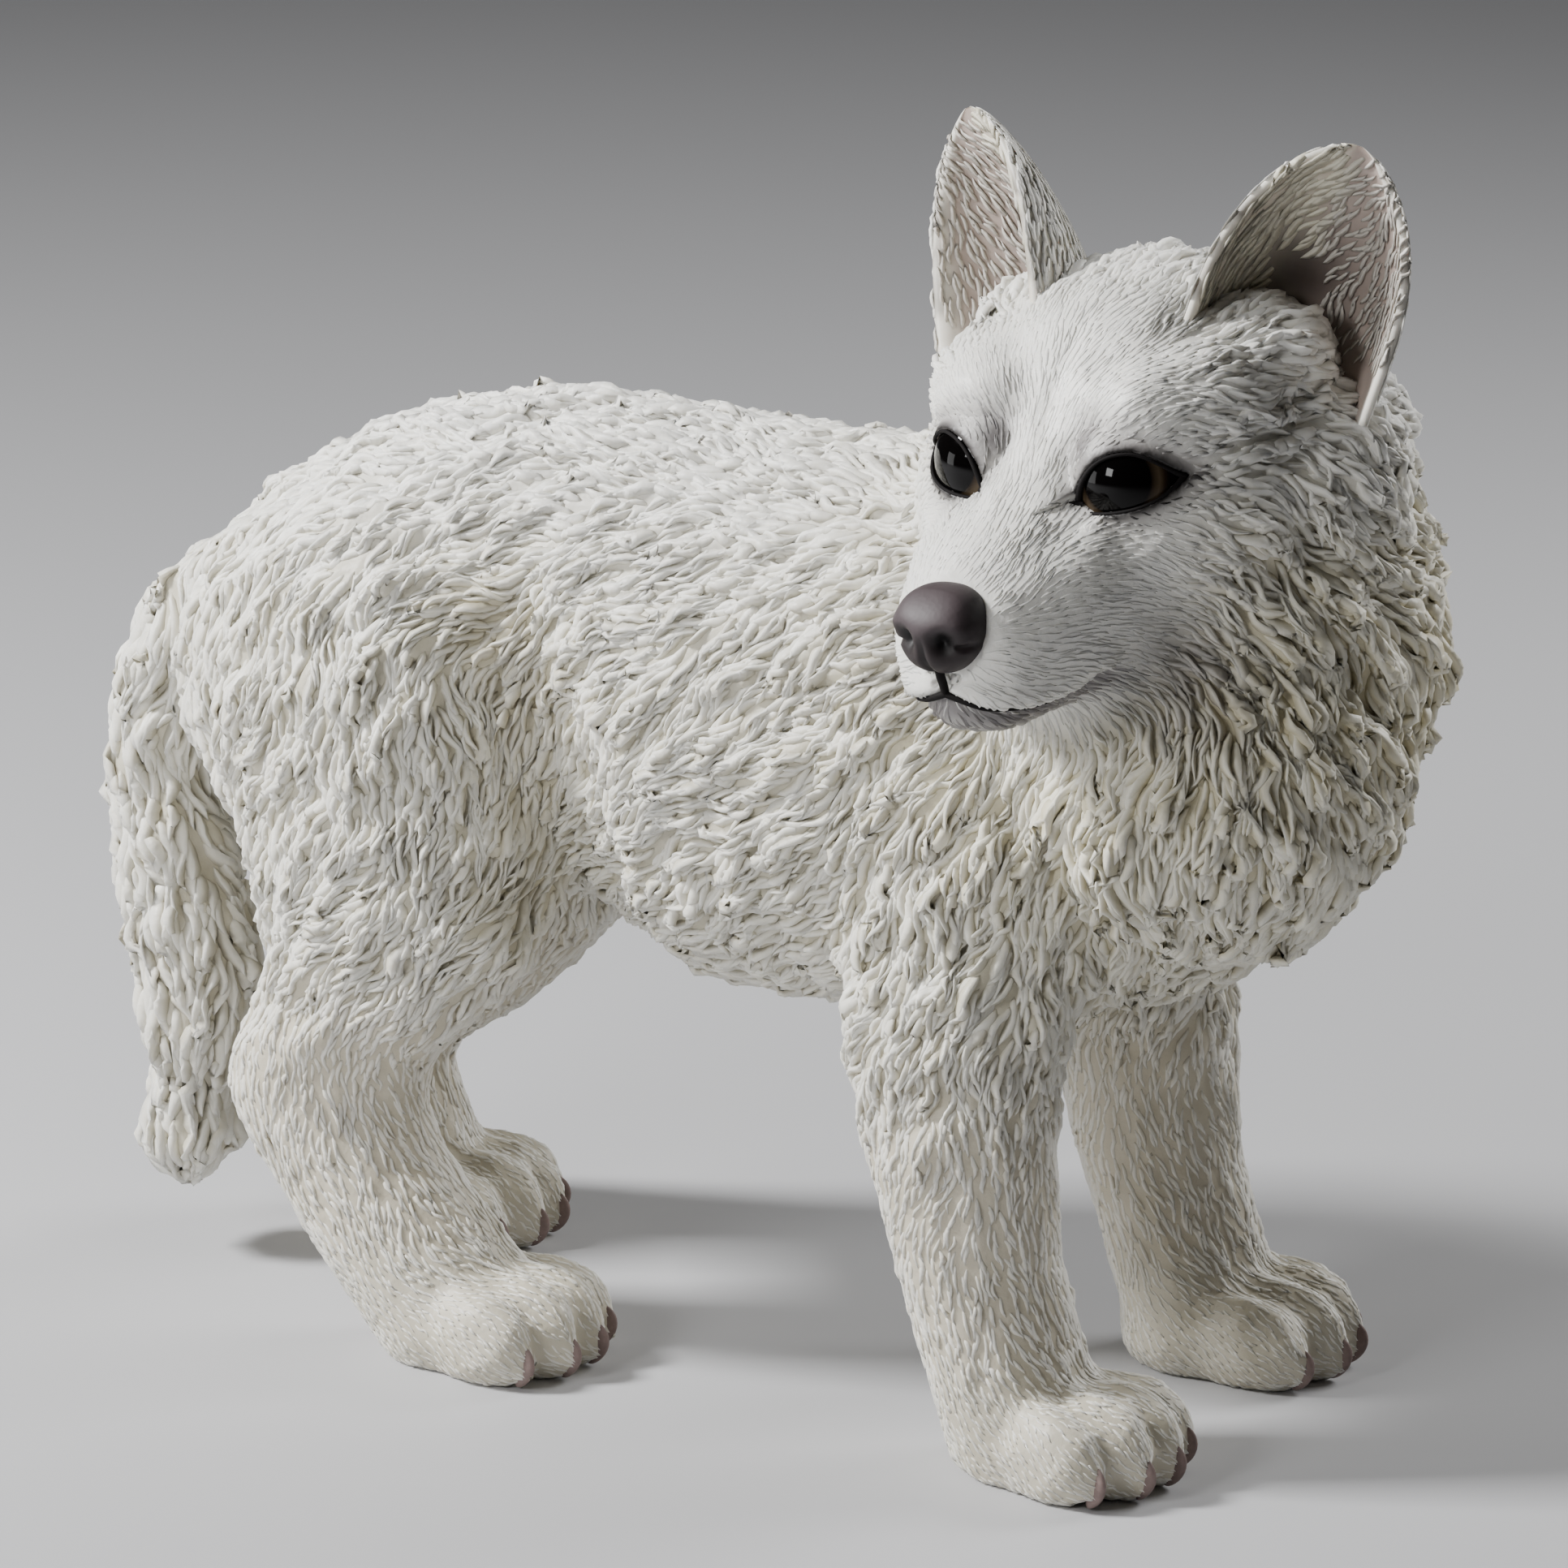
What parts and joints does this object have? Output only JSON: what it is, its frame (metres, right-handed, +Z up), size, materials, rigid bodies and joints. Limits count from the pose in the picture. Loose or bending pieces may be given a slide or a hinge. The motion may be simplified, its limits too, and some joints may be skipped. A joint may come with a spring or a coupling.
{
  "type": "arctic wolf pup figurine",
  "caption": "Hand-painted cast-resin figurine of a white wolf pup that walks with its head turned to its right; a still ornament that stands on its paws.",
  "frame": {"origin": "middle of the bounding box's bottom, on the surface that the paws stand on", "axes": "+X the way the pup walks, +Y its left side, +Z up"},
  "size_m": [0.1646, 0.0806, 0.1461],
  "materials": {
    "coat_resin": "ivory cast polyester resin with a carved coat, its crests dry-brushed white, satin",
    "ear_resin": "cast resin, white outside and painted taupe inside the cup, satin",
    "eye_gloss": "cast resin painted near black with an amber iris under clear gloss varnish",
    "nose_paint": "cast resin painted purple-brown and dry-brushed grey, satin"
  },
  "bodies": {
    "root": {"head": "coat_resin", "neck": "coat_resin", "trunk": "coat_resin", "tail": "coat_resin", "ear_left": "ear_resin", "ear_right": "ear_resin", "eye_left": "eye_gloss", "eye_right": "eye_gloss", "nose": "nose_paint", "foreleg_left": "coat_resin", "foreleg_right": "coat_resin", "hindleg_left": "coat_resin", "hindleg_right": "coat_resin", "paw_fore_left": "coat_resin", "paw_fore_right": "coat_resin", "paw_hind_left": "coat_resin", "paw_hind_right": "coat_resin"}
  },
  "joints": []
}
